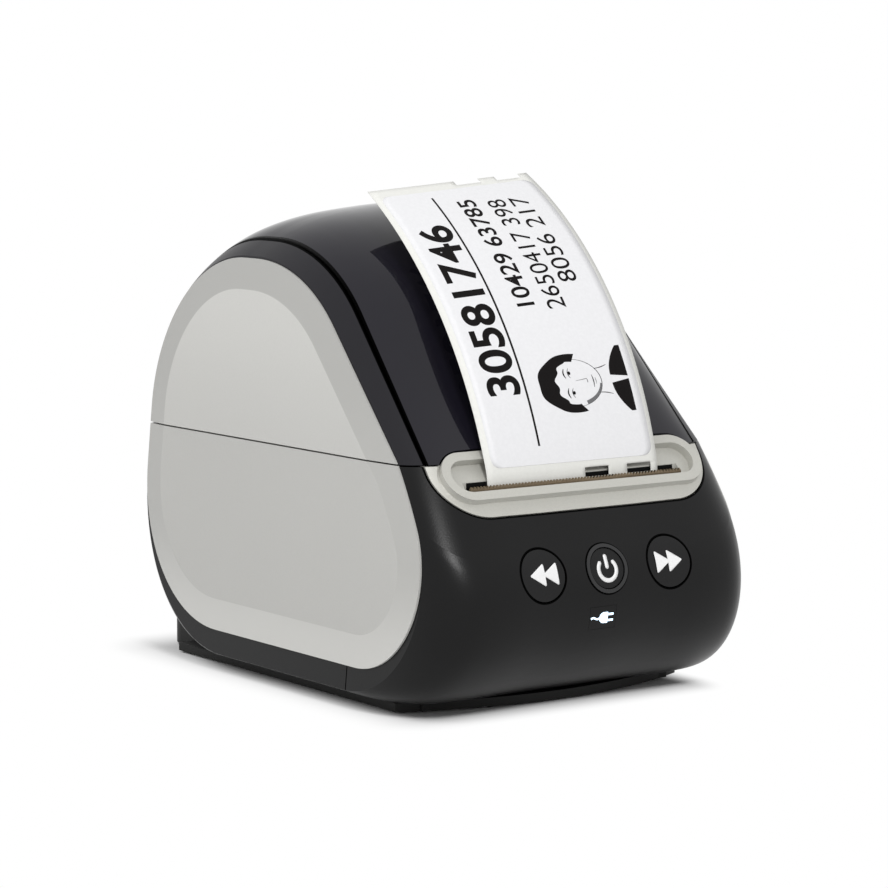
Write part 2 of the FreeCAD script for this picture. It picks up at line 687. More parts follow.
# Route of the label strip in the side view: under the roll, round the platen, up through the bezel.
platen = d.platen_y, d.platen_z
spool = d.spool_y, d.spool_z
web_r = d.platen_r + d.web_gap
roll_web_r = d.roll_r + d.web_gap
exit_spot = bezel_frame.multVec(Vector(0, d.exit_rise, -d.exit_sink))
exit_point = exit_spot.y, exit_spot.z
chute_deg = bearing(platen, spool) - math.degrees(math.asin((roll_web_r - web_r) / math.dist(platen, spool)))
exit_reach = math.dist(platen, exit_point)
exit_deg = bearing(platen, exit_point) - math.degrees(math.asin(web_r / exit_reach))
exit_frame = front_frame(0, exit_point[0], exit_point[1], exit_deg)


def base_shells():
    """Base housing and front cover: one moulded form, split at the side seam."""
    shell = lower_outer.cut(lower_inner).common(slab(EVERYWHERE, EVERYWHERE, (d.chin_z, REACH)))
    plug = slab((-d.plug_half - d.plug_gap, d.plug_half + d.plug_gap),
                (d.plug_front_y - d.plug_gap, d.plug_rear_y + d.plug_gap), (0, d.plug_top + d.wall))
    stand = slab((-d.heel_half - d.heel_gap, d.heel_half + d.heel_gap),
                 (d.plug_rear_y, d.heel_rear_y), (0, d.heel_top + d.heel_gap))
    shell = shell.cut(plug)
    front_trim = slab(EVERYWHERE, (-REACH, d.seam_y - d.seam_gap), EVERYWHERE)
    rear_trim = slab(EVERYWHERE, (d.seam_y, REACH), EVERYWHERE)
    bezel_hole = bezel_blank(d.bezel_gap, -THROUGH, THROUGH)
    front = shell.common(front_trim).cut(bezel_hole)
    return front, shell.common(rear_trim).cut(stand)


def button_frames():
    y, tilt = nose_face(d.button_z)
    return [front_frame(side * d.button_pitch, y, d.button_z, tilt) for side in (-1, 0, 1)]


def local_rod(radius, low, high, frame, x=0.0, y=0.0):
    spot = Placement(Vector(x, y, low), Rotation())
    return placed(Part.makeCylinder(radius, high - low), frame.multiply(spot))


def local_slab(x, y, z, frame):
    block = Part.makeBox(x[1] - x[0], y[1] - y[0], z[1] - z[0])
    return placed(block, frame.multiply(Placement(Vector(x[0], y[0], z[0]), Rotation())))


PROUD = 4.0  # trimming length outside the front face
board_level = -(d.button_long + d.button_travel + d.switch_gap + d.switch_high)


def lens_blank(grow, low):
    y, tilt = nose_face(d.lens_z)
    frame = front_frame(d.lens_x, y, d.lens_z, tilt)
    half, tall = d.lens_half + grow, d.lens_tall / 2 + grow
    return local_slab((-half, half), (-tall, tall), (low, PROUD), frame)


def make_front_cover(blank):
    """Front cover with button holes, light window and the bosses of the button board."""
    left, middle, right = button_frames()
    hole = d.button_r + d.button_gap
    for frame, radius in ((left, hole), (middle, d.power_ring_r + d.trim_fit), (right, hole)):
        blank = blank.cut(local_rod(radius, -d.button_long, PROUD, frame))
    blank = blank.cut(lens_blank(d.lens_gap, -d.lens_deep - d.wall))
    for side in (-1, 1):
        boss = local_rod(d.boss_r, board_level, -d.wall / 2, middle, x=side * d.button_pitch / 2)
        blank = blank.fuse(boss)
    return blank.removeSplitter()


def make_button(frame, radius):
    """Button cap whose face follows the front cover, with a flange behind the wall."""
    cap = local_rod(radius, -d.button_long, PROUD, frame).common(lower_outer)
    flange = local_rod(radius + d.button_flange + d.button_gap, -d.button_long,
                       d.flange_thick - d.button_long, frame)
    return cap.fuse(flange).removeSplitter()


def make_power_ring(frame):
    """Fixed ring round the power button, a little proud of the front face."""
    tube = local_rod(d.power_ring_r, -d.power_ring_long, PROUD, frame).cut(
        local_rod(d.power_r + d.button_gap, -d.power_ring_long, PROUD, frame))
    return tube.common(lower_form(-d.power_ring_rise))


def make_button_board(frame):
    """Board under the three buttons, on its bosses."""
    span = -d.button_board_half, d.button_board_half
    return local_slab(span, (-d.button_board_down, d.button_board_up),
                      (board_level - d.board_thick, board_level), frame)


def make_switches(frames):
    """Push switches on the button board, each with a round plunger."""
    half = d.switch_size / 2
    switches = []
    across = -half, half
    for frame in frames:
        case = local_slab(across, across, (board_level, board_level + d.switch_case), frame)
        plunger = local_rod(half / 2, board_level, board_level + d.switch_high, frame)
        switches.append(case.fuse(plunger).removeSplitter())
    return Part.makeCompound(switches)


def make_bezel():
    """Silver bezel with a raised oval ring, a groove round it, a tray inside and the slanted exit slot."""
    deep = d.bezel_wall
    skin = lower_outer.cut(lower_form(deep, d.parting_z + deep))
    plate = skin.common(bezel_blank(0, -THROUGH, THROUGH))
    groove_r = d.ring_r + d.groove_wide
    groove = ring_prism(groove_r, -d.groove_deep, PROUD).cut(ring_prism(d.ring_r, -deep, PROUD))
    ring = ring_prism(d.ring_r, -deep, d.ring_rise)
    tray = ring_prism(d.ring_r - d.ring_band, -d.tray_deep, PROUD)
    slot = local_slab((-d.slot_half, d.slot_half), (-THROUGH, THROUGH), (-d.slot_back, d.slot_front),
                      exit_frame)
    return plate.cut(groove).fuse(ring).cut(tray).cut(slot).removeSplitter()


def make_tear_bar():
    """Steel strip on the front wall of the slot, its upper edge cut into fine teeth."""
    count = int(2 * d.bar_half / d.tooth_pitch)
    start = -count * d.tooth_pitch / 2
    low, tip = -d.bar_low, -d.bar_high
    corners = [Vector(start, low, 0), Vector(-start, low, 0)]
    for step in range(count, 0, -1):
        corners.append(Vector(start + step * d.tooth_pitch, tip - d.tooth_deep, 0))
        corners.append(Vector(start + (step - 0.5) * d.tooth_pitch, tip, 0))
    corners.append(Vector(start, tip - d.tooth_deep, 0))
    blade = Part.Face(Part.makePolygon(corners + corners[:1])).extrude(Vector(0, 0, d.bar_thick))
    return placed(blade, exit_frame.multiply(Placement(Vector(0, 0, d.slot_front - d.bar_thick), Rotation())))


# Lid pieces.

def between_seams(half, y):
    """Block whose sides lean like the printer's, half wide at lean_z."""
    def edge(z):
        return half * (1 - math.tan(math.radians(d.lean_deg)) * (z - d.lean_z) / side_x)
    corners = [(-edge(0), 0), (edge(0), 0), (edge(REACH), REACH), (-edge(REACH), REACH)]
    wire = Part.makePolygon([Vector(x, y[0], z) for x, z in corners + corners[:1]])
    return Part.Face(wire).extrude(Vector(0, y[1] - y[0], 0))


def window_trim(grow):
    return between_seams(d.window_half + grow, (-REACH, d.window_rear_y + grow))


def make_window():
    """Glossy outer skin of the lid between the two seams, notched round the bezel ring."""
    skin = lid_outer.cut(lid_form(d.window_wall, lid_bottom - d.wall))
    return skin.common(window_trim(0)).cut(ring_prism(d.ring_r + d.ring_gap, -THROUGH / 2, THROUGH / 2))


def knuckle_span(side, place):
    """X range of a hinge knuckle: place -1 or 1 is on the body, 0 is on the lid."""
    middle = side * d.hinge_x + place * (d.knuckle + d.knuckle_gap)
    return middle - d.knuckle / 2, middle + d.knuckle / 2


def cross_rod(radius, span, y, z):
    return Part.makeCylinder(radius, span[1] - span[0], Vector(span[0], y, z), X_AXIS)


def barrels(places, grow=0.0):
    """Round hinge barrels at the given places of both hinges, grown by a clearance."""
    spans = [knuckle_span(side, place) for side in (-1, 1) for place in places]
    return [cross_rod(d.hinge_r + grow, (start - grow, end + grow), d.hinge_y, d.parting_z)
            for start, end in spans]


def add_knuckles(wall, own, other, low, high):
    """Wall cleared round the other piece's barrels, with its own barrels, lugs and pin bores."""
    for barrel in barrels(other, d.knuckle_gap):
        wall = wall.cut(barrel)
    for barrel in barrels(own):
        ends = barrel.BoundBox
        lug = slab((ends.XMin, ends.XMax), (d.hinge_y - d.hinge_reach, d.hinge_y), (low, high))
        wall = wall.fuse(barrel).fuse(lug)
    reach = 1.5 * d.knuckle + d.knuckle_gap
    for middle in (-d.hinge_x, d.hinge_x):
        bore = cross_rod(d.hinge_pin_r + d.hinge_fit, (middle - reach, middle + reach), d.hinge_y, d.parting_z)
        wall = wall.cut(bore)
    return wall


def make_lid_frame():
    """Lid moulding: shoulders, rear and the ledge under the window."""
    frame = lid_outer.cut(lid_inner)
    seat = lid_outer.cut(lid_form(d.window_wall, lid_bottom - d.wall)).common(window_trim(d.window_seam))
    open_half = d.window_half - d.window_ledge
    open_front = d.front_top_y + d.window_front_ledge
    opening = between_seams(open_half, (open_front, d.window_rear_y - d.window_ledge))
    frame = frame.cut(seat).cut(opening).cut(ring_prism(d.ring_r + d.ring_gap, -THROUGH / 2, THROUGH / 2))
    return add_knuckles(frame, (0,), (-1, 1), lid_bottom, lid_bottom + d.hinge_r).removeSplitter()


def panel_wire(x, inset):
    """Whole outline of a side panel, upper and lower half, drawn in by inset."""
    margin = d.panel_margin + inset
    front, front_r, touch, rear, rear_r = lid_curves(side_x)
    touch_point = polar(front, front_r - margin, touch)
    run = polar((0, 0), 1, touch + 90)
    rim = slope_foot(polar(front, front_r - d.panel_margin, touch), touch, d.parting_z)
    nose = d.panel_nose_y + d.panel_nose_r, d.panel_floor_z + d.panel_nose_r
    centre, bend = front_arc(nose, d.panel_nose_r, rim)
    heel_y = d.side_rear_y - d.panel_margin - d.panel_heel_r
    heel = heel_y, d.panel_floor_z + d.panel_heel_r
    # The slope and the front arc, both drawn in, meet at the brow.
    gap = touch_point[0] - centre[0], touch_point[1] - centre[1]
    along = gap[0] * run[0] + gap[1] * run[1]
    reach = math.sqrt(along ** 2 - gap[0] ** 2 - gap[1] ** 2 + (bend - inset) ** 2)
    brow = min(((touch_point[0] + run[0] * step, touch_point[1] + run[1] * step)
                for step in (reach - along, -reach - along)), key=lambda spot: math.dist(spot, rim))
    nose_r, heel_r = d.panel_nose_r - inset, d.panel_heel_r - inset
    return Part.Wire([
        line(x, brow, touch_point),
        arc(x, front, front_r - margin, touch, 90),
        line(x, polar(front, front_r - margin, 90), polar(rear, rear_r - margin, 90)),
        arc(x, rear, rear_r - margin, 90, 0),
        line(x, polar(rear, rear_r - margin, 0), polar(heel, heel_r, FULL_TURN)),
        arc(x, heel, heel_r, FULL_TURN, 270),
        line(x, polar(heel, heel_r, 270), polar(nose, nose_r, 270)),
        arc(x, nose, nose_r, 270, d.nose_end_deg),
        arc(x, centre, bend - inset, d.nose_end_deg, bearing(centre, brow) % FULL_TURN),
    ])


def make_panels(side):
    """Grey insert of one side, split at the joint line into a lid half and a body half."""
    edge_x = side_x + d.panel_edge
    rim = panel_wire(side * side_x, 0.0)
    blank = Part.Face(rim).extrude(Vector(side * d.panel_edge, 0, 0))
    face = panel_wire(side * d.body_width / 2, d.panel_border)
    border = loft([panel_wire(side * edge_x, 0.0), face], ruled=True)
    whole = leaned(blank.fuse(border).removeSplitter(), side * side_x)
    upper = whole.common(slab(EVERYWHERE, EVERYWHERE, (lid_bottom, REACH)))
    return upper, whole.common(slab(EVERYWHERE, EVERYWHERE, (-REACH, body_top)))


# Inner mouldings and the label.

def make_cradle():
    """Roll cradle: a trough under the roll, side walls with open bearings, and the deck round it."""
    inner_r = d.roll_r + d.cradle_gap
    outer_r = inner_r + d.cradle_wall
    low = chute_deg - 90
    deck_top = d.deck_z + d.deck_thick

    def lip(radius):
        start = polar(spool, radius, low)
        return d.cradle_lip_y, start[1] + (d.cradle_lip_y - start[0]) * math.tan(math.radians(chute_deg))
    half = d.cradle_half + d.cradle_wall
    trough = Part.Face(Part.Wire([
        line(-half, (d.spool_y + inner_r, deck_top), (d.spool_y + inner_r, d.spool_z)),
        arc(-half, spool, inner_r, 0, low),
        line(-half, polar(spool, inner_r, low), lip(inner_r)),
        line(-half, lip(inner_r), lip(outer_r)),
        line(-half, lip(outer_r), polar(spool, outer_r, low)),
        arc(-half, spool, outer_r, low, 0),
        line(-half, (d.spool_y + outer_r, d.spool_z), (d.spool_y + outer_r, deck_top)),
        line(-half, (d.spool_y + outer_r, deck_top), (d.spool_y + inner_r, deck_top)),
    ])).extrude(Vector(2 * half, 0, 0))
    deck = lower_form(d.wall + d.deck_gap).common(
        slab(EVERYWHERE, (d.deck_front_y, d.deck_rear_y), (d.deck_z, deck_top)))
    well = slab((-d.cradle_half, d.cradle_half), (d.well_front_y, d.spool_y + inner_r), EVERYWHERE)
    lever_slot = slab((d.lever_x - d.lever_thick - d.deck_gap, d.lever_x + d.deck_gap),
                      (d.lever_y - d.lever_slot_front, d.lever_y + d.lever_slot_back), EVERYWHERE)
    cradle = trough.fuse(deck.cut(well).cut(lever_slot))
    for side in (-1, 1):
        inside = d.cradle_half if side > 0 else -half
        span = inside, inside + d.cradle_wall
        wall = slab(span, (d.cradle_leg_front_y, d.spool_y + outer_r), (d.plug_top, deck_top))
        upper = slab(span, (d.cradle_leg_front_y, REACH), (d.spool_z, REACH))
        hollow = cross_rod(outer_r, span, *spool).fuse(upper)
        leg = slab(span, (d.cradle_leg_front_y, d.cradle_leg_rear_y), (d.plug_top, REACH))
        cradle = cradle.fuse(wall.common(hollow.fuse(leg)))
    bearing_r = d.journal_r + d.journal_fit
    tip = half + d.journal_long + d.deck_gap
    bearing_cut = cross_rod(bearing_r, (-tip, tip), *spool).fuse(
        slab((-tip, tip), (d.spool_y - bearing_r, d.spool_y + bearing_r), (d.spool_z, REACH)))
    return cradle.cut(bearing_cut).removeSplitter()


def strip_wire(x, bend_deg, end_deg, free):
    """Thin closed outline of the label strip at one edge: chute, platen, slot, bend and free end."""
    start = polar(spool, roll_web_r, chute_deg - 90)
    wrap_start = polar(platen, web_r, chute_deg - 90)
    wrap_end_deg = exit_deg + 90
    wrap_end = polar(platen, web_r, wrap_end_deg)
    free_r = free / math.radians(bend_deg - end_deg)
    bend_r = d.strip_bend / math.radians(exit_deg - bend_deg)
    bend_centre = polar(exit_point, bend_r, exit_deg - 90)
    bend_end = polar(bend_centre, bend_r, bend_deg + 90)
    free_centre = polar(bend_end, free_r, bend_deg - 90)

    def side(thick):
        out = polar((0, 0), thick, chute_deg - 90)
        up = polar((0, 0), thick, exit_deg + 90)

        def moved(spot, step):
            return spot[0] + step[0], spot[1] + step[1]
        return [
            line(x, moved(start, out), moved(wrap_start, out)),
            arc(x, platen, web_r + thick, chute_deg + 270, wrap_end_deg),
            line(x, moved(wrap_end, up), moved(exit_point, up)),
            arc(x, bend_centre, bend_r + thick, exit_deg + 90, bend_deg + 90),
            arc(x, free_centre, free_r + thick, bend_deg + 90, end_deg + 90),
        ]
    front, back = side(d.web_thick), side(0.0)
    tip = Part.LineSegment(front[-1].lastVertex().Point, back[-1].lastVertex().Point).toShape()
    tail = Part.LineSegment(back[0].firstVertex().Point, front[0].firstVertex().Point).toShape()
    return Part.Wire(front + [tip] + back[::-1] + [tail])


def make_strip():
    """Label strip from the roll to its curled, slightly twisted free end."""
    left = strip_wire(-d.roll_half, d.strip_left_deg, d.strip_left_end_deg, d.strip_left_free)
    right = strip_wire(d.roll_half, d.strip_right_deg, d.strip_right_end_deg, d.strip_right_free)
    return loft([left, right], ruled=True)


def make_chute():
    """Sheet that carries the strip from the cradle to the platen."""
    def under(y, drop):
        start = polar(platen, web_r, chute_deg - 90)
        return y, start[1] + (y - start[0]) * math.tan(math.radians(chute_deg)) - drop
    top = d.chute_gap + d.web_thick
    rear_y = d.cradle_lip_y - d.plug_gap
    corners = [under(d.chute_front_y, top), under(rear_y, top),
               under(rear_y, top + d.chute_thick), under(d.chute_front_y, top + d.chute_thick)]
    wire = Part.makePolygon([at(-d.frame_half, *spot) for spot in corners + corners[:1]])
    sheet = Part.Face(wire).extrude(Vector(2 * d.frame_half, 0, 0))
    middle = corners[2][0] - (corners[2][0] - corners[3][0]) / 2
    spot = under(middle, top + d.chute_thick)
    sensor = slab((-d.sensor_half, d.sensor_half), (-d.sensor_half, d.sensor_half), (-d.sensor_high, 0))
    return sheet, placed(sensor, front_frame(0, spot[0], spot[1], chute_deg))


# Drive gears.

PRESSURE_DEG = 20.0
TOOTH_TIP, TOOTH_ROOT = 0.9, 1.2  # height and depth of a tooth from the pitch circle, in modules
FLANK_STEPS = 3


def gear_outline(teeth, turn):
    """Involute gear with play: each flank runs from the root circle to the tip along the involute."""
    pitch_r = d.gear_module * teeth / 2
    base_r = pitch_r * math.cos(math.radians(PRESSURE_DEG))
    tip_r = pitch_r + TOOTH_TIP * d.gear_module
    root_r = pitch_r - TOOTH_ROOT * d.gear_module

    def flank(radius):
        """Half tooth angle at a radius."""
        def spread(r):
            open_angle = math.acos(min(1.0, base_r / r))
            return math.tan(open_angle) - open_angle
        half = (math.pi / 2 - d.backlash / d.gear_module) / teeth
        return half + spread(pitch_r) - spread(max(radius, base_r))
    low_r = max(root_r, base_r)
    radii = [low_r + (tip_r - low_r) * step / FLANK_STEPS for step in range(FLANK_STEPS + 1)]
    corners = []
    for tooth in range(teeth):
        middle = turn + 2 * math.pi * tooth / teeth
        left = [(root_r, middle - flank(low_r))] + [(r, middle - flank(r)) for r in radii]
        right = [(r, middle + flank(r)) for r in radii[::-1]] + [(root_r, middle + flank(low_r))]
        corners += left + right
    return [(r * math.cos(angle), r * math.sin(angle)) for r, angle in corners]


def make_gear(teeth, centre, turn, bore):
    """Gear on the drive side of the frame, on a (y, z) centre."""
    corners = gear_outline(int(teeth), turn)
    spots = [at(d.gear_inner_x, centre[0] + y, centre[1] + z) for y, z in corners]
    wire = Part.makePolygon(spots + spots[:1])
    wheel = Part.Face(wire).extrude(Vector(d.gear_wide, 0, 0))
    return wheel.cut(cross_rod(bore, (d.gear_inner_x, d.gear_inner_x + d.gear_wide), *centre))


# Where the idler meshes with both the motor pinion and the platen gear, on the rear side of the line between.
NEAR = "gear_module * (pinion_teeth + idler_teeth) / 2"
FAR = "gear_module * (idler_teeth + platen_teeth) / 2"
APART = "sqrt((platen_y - motor_y)^2 + (platen_z - motor_z)^2)"
ALONG = f"(({APART})^2 + ({NEAR})^2 - ({FAR})^2) / (2 * {APART})"
ASIDE = f"sqrt(({NEAR})^2 - ({ALONG})^2)"
IDLER_Y = f"motor_y + (({ALONG}) * (platen_y - motor_y) + {ASIDE} * (platen_z - motor_z)) / {APART}"
IDLER_Z = f"motor_z + (({ALONG}) * (platen_z - motor_z) - {ASIDE} * (platen_y - motor_y)) / {APART}"
motor = d.motor_y, d.motor_z
idler = value_of(IDLER_Y), value_of(IDLER_Z)


def gear_turns():
    """Starting turns of the platen gear, idler and pinion, meshed tooth into gap."""
    to_idler = math.radians(bearing(platen, idler))
    to_pinion = math.radians(bearing(idler, motor))
    idler_turn = to_idler + math.pi + math.pi / d.idler_teeth
    ahead = (idler_turn - to_pinion) % (2 * math.pi / d.idler_teeth)
    pinion_turn = to_pinion + math.pi + math.pi / d.pinion_teeth - ahead * d.idler_teeth / d.pinion_teeth
    return to_idler, idler_turn, pinion_turn


# Body of the printer.

def upright(radius, span, x, y):
    return Part.makeCylinder(radius, span[1] - span[0], Vector(x, y, span[0]))


def lengthwise(radius, span, x, z):
    return Part.makeCylinder(radius, span[1] - span[0], Vector(x, span[0], z), Y_AXIS)


def make_base_housing(blank):
    """Rear of the body with screw posts, board studs, hinge knuckles and the socket openings."""
    board_back = d.main_board_y + d.board_thick
    for side in (-1, 1):
        for y in (d.screw_front_y, d.screw_rear_y):
            blank = blank.fuse(upright(d.post_r, (d.chin_z, d.post_top), side * d.screw_x, y))
            bore = upright(d.screw_r + d.trim_fit, (0, d.screw_top + d.plug_gap), side * d.screw_x, y)
            blank = blank.cut(bore)
        for z in (d.stud_low_z, d.stud_high_z):
            stud = lengthwise(d.stud_r, (board_back, d.rear_y - d.wall / 2), side * d.stud_x, z)
            bore_end = board_back + d.board_screw_long + d.plug_gap
            bore = lengthwise(d.board_screw_r + d.trim_fit, (board_back, bore_end), side * d.stud_x, z)
            blank = blank.fuse(stud.common(lower_outer)).cut(bore)
    blank = add_knuckles(blank, (-1, 1), (0,), body_top - d.hinge_r, body_top)
    fit = d.socket_fit
    wide, tall = d.data_wide / 2 + fit, d.data_tall / 2 + fit
    back = d.main_board_y, REACH
    power_hole = lengthwise(d.power_socket_r + fit, back, d.power_socket_x, d.socket_z)
    data_hole = slab((d.data_socket_x - wide, d.data_socket_x + wide), back,
                     (d.socket_z - tall, d.socket_z + tall))
    lock_hole = slab((d.lock_x - d.lock_wide / 2, d.lock_x + d.lock_wide / 2), back,
                     (d.socket_z - d.lock_tall / 2, d.socket_z + d.lock_tall / 2))
    return blank.cut(power_hole).cut(data_hole).cut(lock_hole).removeSplitter()


SIDES = ("-", "")
FEET = [(f"{side}foot_{end}_x", f"foot_{end}_y") for end in ("front", "rear") for side in SIDES]
SCREWS = [(f"{side}screw_x", f"screw_{end}_y") for end in ("front", "rear") for side in SIDES]
STUDS = [(f"{side}stud_x", f"stud_{end}_z") for end in ("low", "high") for side in SIDES]


def uprights(name, radius, span, places):
    return [rod(f"{name}_{count}", "z", radius, span, x=x, y=y) for count, (x, y) in enumerate(places)]


def lengthwise_rods(name, radius, span, places):
    return [rod(f"{name}_{count}", "y", radius, span, x=x, z=z) for count, (x, z) in enumerate(places)]


def build_base():
    """Base plate with its rear stand, its feet and the screws that hold the housing."""
    below = "plate_bottom - wall"
    head_top = "plate_bottom + screw_head"
    inner = "heel_half - heel_corner"
    rear = "heel_rear_y - heel_corner"
    stand_z = ("plate_bottom", "heel_top")
    flange = overlap(
        "plate_flange",
        box("plate_block", ("-plate_half", "plate_half"), ("plate_front_y", "plate_rear_y"),
            ("plate_bottom", "chin_z")),
        rod("plate_bow", "z", "plate_front_r", ("plate_bottom", "chin_z"), y="plate_front_y + plate_front_r"))
    blank = join(
        "plate_blank", flange,
        box("plate_plug", ("-plug_half", "plug_half"), ("plug_front_y", "plug_rear_y"),
            ("plate_bottom", "plug_top")),
        box("stand_long", (f"-({inner})", inner), ("plug_rear_y", "heel_rear_y"), stand_z),
        box("stand_wide", ("-heel_half", "heel_half"), ("plug_rear_y", rear), stand_z),
        *uprights("stand_corner", "heel_corner", stand_z, [(f"-({inner})", rear), (inner, rear)]))
    plate = carve(
        "plate_cut", blank,
        *uprights("foot_seat", "foot_r + trim_fit", (below, "plate_bottom + foot_seat"), FEET),
        *uprights("head_seat", "screw_head_r + trim_fit", (below, head_top), SCREWS),
        *uprights("shank_hole", "screw_r + trim_fit", (below, "heel_top"), SCREWS))
    node("base_plate", plate)
    node("rubber_feet", group("feet", *uprights("foot", "foot_r", ("0", "plate_bottom + foot_seat"), FEET)))
    heads = uprights("screw_head", "screw_head_r", ("plate_bottom", head_top), SCREWS)
    shanks = uprights("screw_shank", "screw_r", ("plate_bottom", "screw_top"), SCREWS)
    screws = [join(f"screw_{count}", *pair) for count, pair in enumerate(zip(heads, shanks))]
    node("bottom_screws", group("screws", *screws))


def build_shell():
    """Everything seen from the front: covers, bezel, tear bar, buttons, light and side panels."""
    front_blank, rear_blank = base_shells()
    frames = button_frames()
    node("front_cover", feature("front_cover_form", make_front_cover(front_blank)))
    node("base_housing", feature("base_housing_form", make_base_housing(rear_blank)))
    node("exit_bezel", feature("exit_bezel_form", make_bezel()))
    node("tear_bar", feature("tear_bar_form", make_tear_bar()))
    buttons = (("feed_back_button", d.button_r), ("power_button", d.power_r),
               ("feed_forward_button", d.button_r))
    for frame, (label, radius) in zip(frames, buttons):
        node(label, feature(label + "_form", make_button(frame, radius)))
    node("power_ring", feature("power_ring_form", make_power_ring(frames[1])))
    node("button_board", feature("button_board_form", make_button_board(frames[1])))
    node("tact_switches", feature("tact_switch_forms", make_switches(frames)))
    node("status_lens", feature("status_lens_form", lens_blank(0.0, -d.lens_deep).common(lower_outer)))
    for side, name in ((-1, "left"), (1, "right")):
        upper, lower = make_panels(side)
        node(f"lid_panel_{name}", feature(f"lid_panel_{name}_form", upper))
        node(f"side_panel_{name}", feature(f"side_panel_{name}_form", lower))
    node("lid_frame", feature("lid_frame_form", make_lid_frame()))
    node("lid_window", feature("lid_window_form", make_window()))
    reach = "1.5 * knuckle + knuckle_gap"
    pins = [rod(f"hinge_pin_{count}", "x", "hinge_pin_r",
                (f"{side}hinge_x - ({reach})", f"{side}hinge_x + {reach}"), y="hinge_y", z="parting_z")
            for count, side in enumerate(SIDES)]
    node("hinge_pins", group("hinge_pin_pair", *pins))


def build_roll():
    """Cradle, spool, core, label roll and the strip that runs out of it."""
    node("roll_cradle", feature("roll_cradle_form", make_cradle()))
    hub_r = "core_r - core_wall - hub_gap"
    hub_end = "cradle_half - plug_gap"
    tip = "cradle_half + cradle_wall + journal_long"
    flange_in = "roll_half + flange_gap"
    flange_out = "roll_half + flange_gap + flange_wide"
    spindle = turned("spool_turned", [
        (f"-({tip})", "0"), (f"-({tip})", "journal_r"), (f"-({hub_end})", "journal_r"),
        (f"-({hub_end})", hub_r), (f"-({flange_out})", hub_r), (f"-({flange_out})", "flange_r"),
        (f"-({flange_in})", "flange_r"), (f"-({flange_in})", hub_r), (hub_end, hub_r),
        (hub_end, "journal_r"), (tip, "journal_r"), (tip, "0"),
    ], y="spool_y", z="spool_z")
    node("spool_spindle", spindle)
    bore = f"{hub_r} + guide_fit"
    collar_end = f"{flange_out} + collar_long"
    guide = turned("guide_turned", [
        (flange_in, bore), (flange_in, "flange_r"), (flange_out, "flange_r"), (flange_out, "collar_r"),
        (collar_end, "collar_r"), (collar_end, bore),
    ], y="spool_y", z="spool_z")
    node("spool_guide", guide)
    span = ("-roll_half", "roll_half")
    tubes = ("label_core", "core_r", "core_r - core_wall"), ("label_roll", "roll_r", "core_r + trim_fit")
    for label, outer, inner in tubes:
        node(label, carve(label + "_tube",
                          rod(label + "_blank", "x", outer, span, y="spool_y", z="spool_z"),
                          rod(label + "_bore", "x", inner, span, y="spool_y", z="spool_z")))
    node("label_strip", feature("label_strip_form", make_strip()))
    sheet, sensor = make_chute()
    node("label_chute", feature("label_chute_form", sheet))
    node("label_sensor", feature("label_sensor_form", sensor))


HEAD_FACE = "platen_y - platen_r - web_gap - web_thick - head_gap"
HEAD_PLATE = f"{HEAD_FACE} - head_strip"
HEAD_AXIS = f"{HEAD_PLATE} - head_thick / 2"
OUTER = "frame_half + frame_thick"


